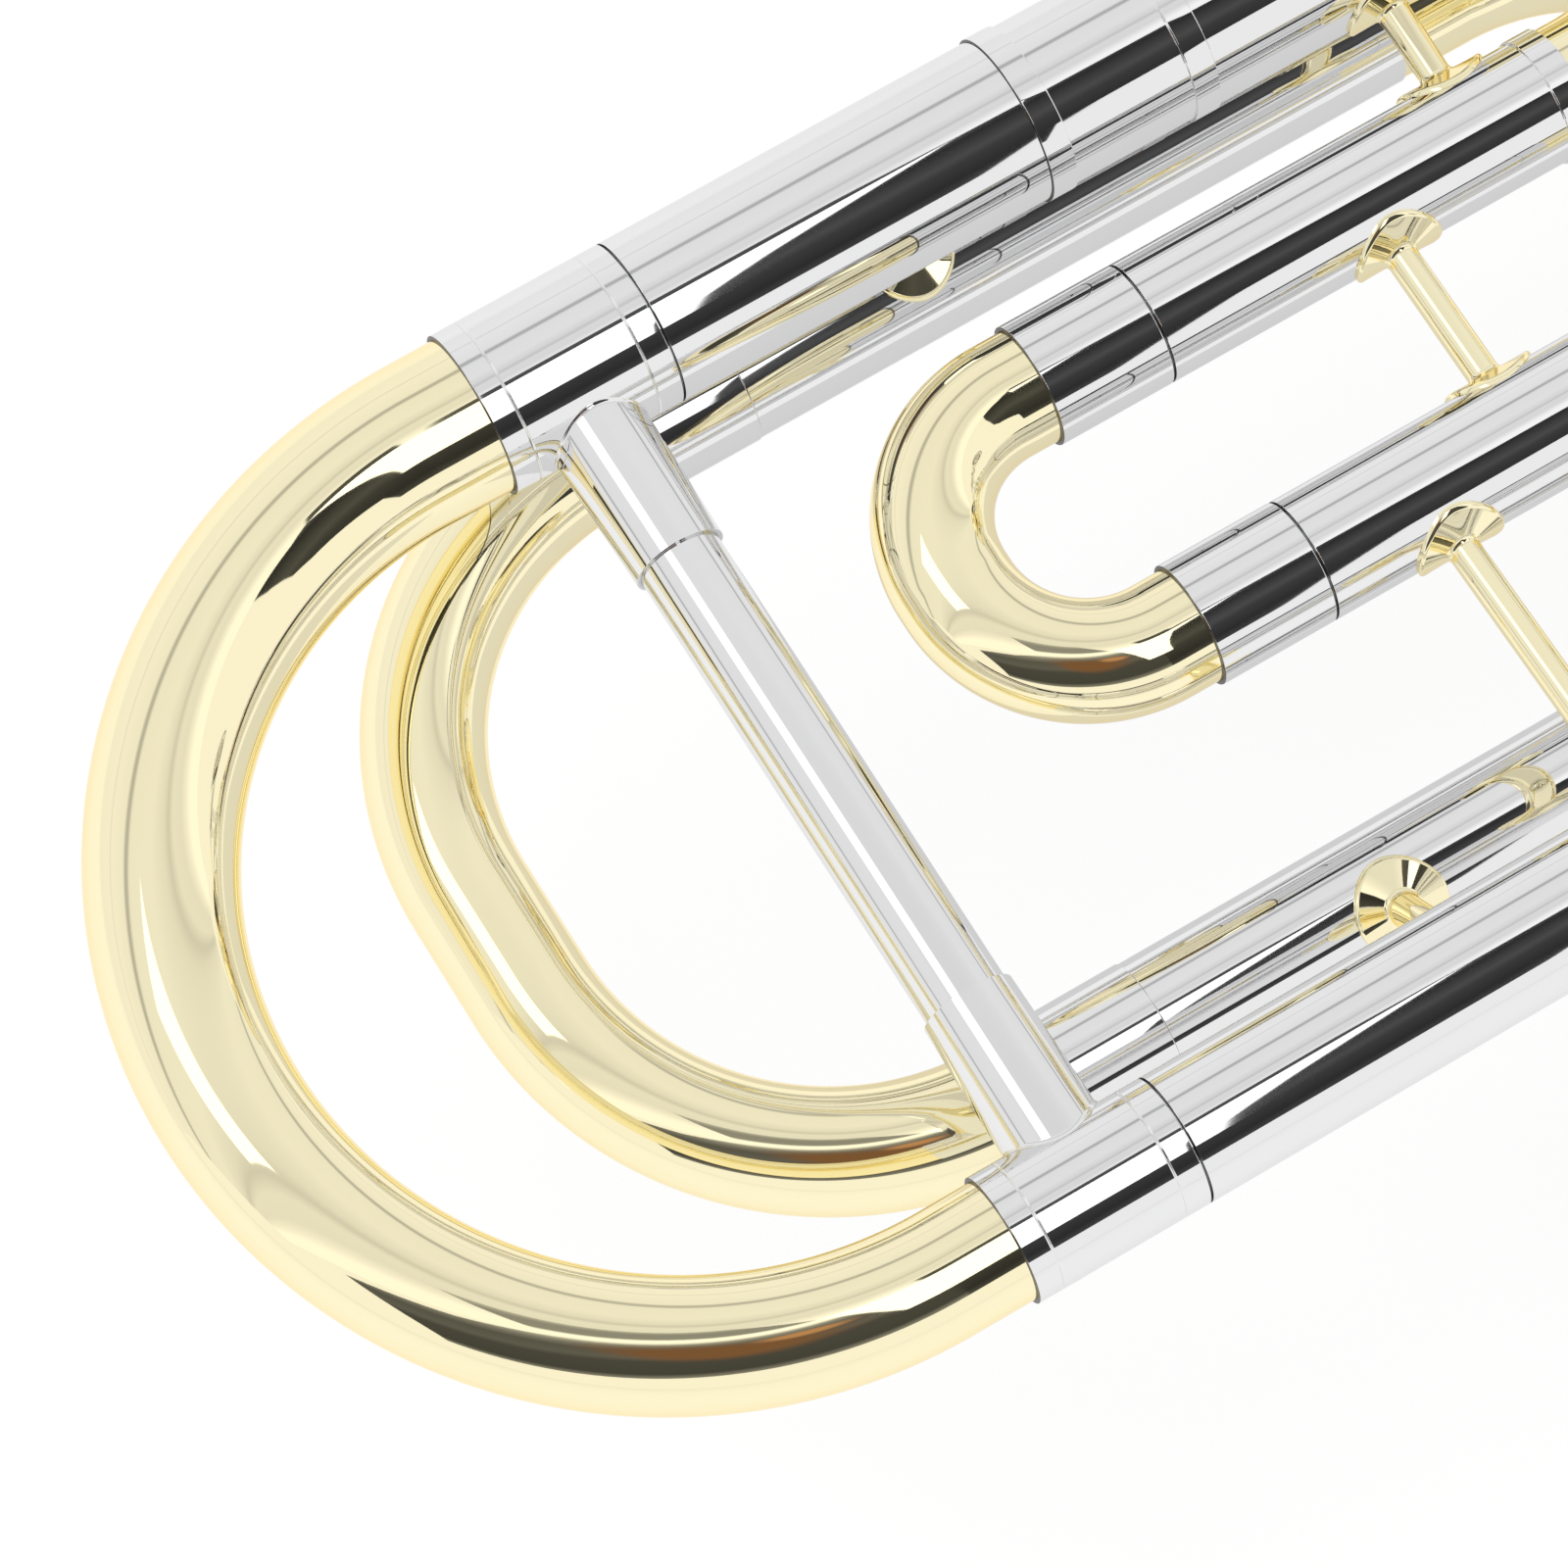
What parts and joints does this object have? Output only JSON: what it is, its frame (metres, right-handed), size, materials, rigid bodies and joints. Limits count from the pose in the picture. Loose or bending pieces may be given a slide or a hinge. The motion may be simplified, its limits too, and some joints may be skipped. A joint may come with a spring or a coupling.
{
  "type": "tenor trombone",
  "caption": "Brass and nickel slide trombone with tapered main tuning bow, rotor valve with thumb lever and wrapped valve loop, flared bell, hand slide and cup mouthpiece.",
  "frame": {"origin": "Centre of the mouth of the slide receiver, where the hand slide joins the bell section and the left hand holds it.", "axes": "+X forward along the slide towards the bell's mouth; +Y from the neck line to the bell line; +Z from the lower slide tube to the upper one with the mouthpiece."},
  "size_m": [1.1707, 0.2495, 0.2162],
  "materials": {
    "lacquered_brass": "polished, clear lacquer",
    "raw_brass": "machined",
    "nickel_silver": "polished nickel",
    "chrome_plate": "hard chrome",
    "silver_plate": "polished silver plate",
    "spring_steel": "drawn wire",
    "rubber": "moulded rubber",
    "cork": "cut cork"
  },
  "bodies": {
    "bell_section": {"bell": "lacquered_brass", "bell_tail_tube": "nickel_silver", "banded_ferrule": "nickel_silver", "bell_side_sleeve": "nickel_silver", "neck_side_sleeve": "nickel_silver", "rear_neck_tube": "lacquered_brass", "front_neck_tube": "lacquered_brass", "slide_receiver": "nickel_silver", "rotor_casing": "lacquered_brass", "rotor_bearing_plate": "raw_brass", "rotor_cap": "nickel_silver", "stop_bumpers": "rubber", "f_loop_bow": "lacquered_brass", "f_loop_ferrules": "nickel_silver", "f_loop_lower_tube": "nickel_silver", "f_loop_upper_tube": "nickel_silver", "f_lower_front_bow": "lacquered_brass", "f_upper_front_bow": "lacquered_brass", "f_s_bend": "lacquered_brass", "f_slide_sleeves": "nickel_silver", "brace_f_slide_legs": "lacquered_brass", "brace_f_slide_to_neck": "lacquered_brass", "brace_bell_to_f_slide": "lacquered_brass", "brace_f_loop_to_bell": "lacquered_brass", "brace_f_loop_to_neck": "lacquered_brass", "bell_brace": "nickel_silver", "lever_bracket": "nickel_silver", "lever_hinge_rod": "spring_steel", "lever_spring": "spring_steel", "slide_tenon": "nickel_silver", "inner_slide_tubes": "chrome_plate", "inner_slide_brace": "nickel_silver", "cork_barrels": "nickel_silver", "lead_pipe": "raw_brass", "mouthpiece_socket": "nickel_silver"},
    "main_tuning_slide": {"main_tuning_bow": "lacquered_brass", "main_bow_ferrules": "nickel_silver", "main_slide_legs": "chrome_plate", "main_brace_tube": "nickel_silver", "main_brace_sockets": "nickel_silver"},
    "f_tuning_slide": {"f_tuning_bow": "lacquered_brass", "f_bow_ferrules": "nickel_silver", "f_slide_legs": "chrome_plate"},
    "rotor_body": {"rotor": "raw_brass", "stop_arm": "nickel_silver"},
    "lever": {"thumb_lever": "nickel_silver"},
    "link": {"link_rod": "spring_steel"},
    "lock_nut": {"slide_lock_nut": "nickel_silver"},
    "lock_ring": {"slide_lock_ring": "nickel_silver"},
    "outer_slide": {"outer_slide_tubes": "lacquered_brass", "outer_slide_brace": "nickel_silver", "slide_crook": "nickel_silver", "crook_ferrules": "nickel_silver", "bumper_socket": "nickel_silver", "rubber_bumper": "rubber", "water_key_seat": "nickel_silver", "water_key_spring": "spring_steel"},
    "water_key": {"water_key_lever": "nickel_silver", "water_key_cork": "cork"},
    "mouthpiece_body": {"mouthpiece": "silver_plate"}
  },
  "joints": [
    {"name": "hand_slide", "type": "slide", "parent": "bell_section", "child": "outer_slide", "axis": [1, 0, 0], "range_m": [0, 0.59]},
    {"name": "main_tuning", "type": "slide", "parent": "bell_section", "child": "main_tuning_slide", "axis": [-1, 0, 0], "range_m": [0, 0.045]},
    {"name": "f_tuning", "type": "slide", "parent": "bell_section", "child": "f_tuning_slide", "axis": [-1, 0, 0], "range_m": [0, 0.012]},
    {"name": "rotor_turn", "type": "hinge", "parent": "bell_section", "child": "rotor_body", "pos_m": [-0.07668, 0.02106, 0], "axis": [0, 0, 1], "range_deg": [0, 90]},
    {"name": "thumb_lever_turn", "type": "hinge", "parent": "bell_section", "child": "lever", "pos_m": [-0.028, 0.068, 0.019], "axis": [0, 0, 1], "range_deg": [0, 25.54], "stiffness_Nm_per_rad": 0.15, "springref_deg": -34.38},
    {"name": "link_turn", "type": "hinge", "parent": "lever", "child": "link", "pos_m": [-0.05921, 0.07507, 0.019], "axis": [0, 0, 1], "range_deg": [-25.54, 0]},
    {"name": "slide_lock", "type": "hinge", "parent": "bell_section", "child": "lock_ring", "pos_m": [0.09, 0, 0], "axis": [1, 0, 0], "range_deg": [0, 30]},
    {"name": "lock_nut_turn", "type": "hinge", "parent": "bell_section", "child": "lock_nut", "pos_m": [0, 0, 0], "axis": [1, 0, 0], "continuous": true},
    {"name": "water_key_turn", "type": "hinge", "parent": "outer_slide", "child": "water_key", "pos_m": [0.735, 0, -0.0136], "axis": [0, 1, 0], "range_deg": [0, 12], "stiffness_Nm_per_rad": 0.02, "springref_deg": -34.38},
    {"name": "mouthpiece_pull", "type": "slide", "parent": "bell_section", "child": "mouthpiece_body", "axis": [-1, 0, 0], "range_m": [0, 0.03]}
  ],
  "couplings": [
    {"joint": "thumb_lever_turn", "follows": "rotor_turn", "ratio": 0.28369},
    {"joint": "link_turn", "follows": "rotor_turn", "ratio": -0.28369}
  ]
}
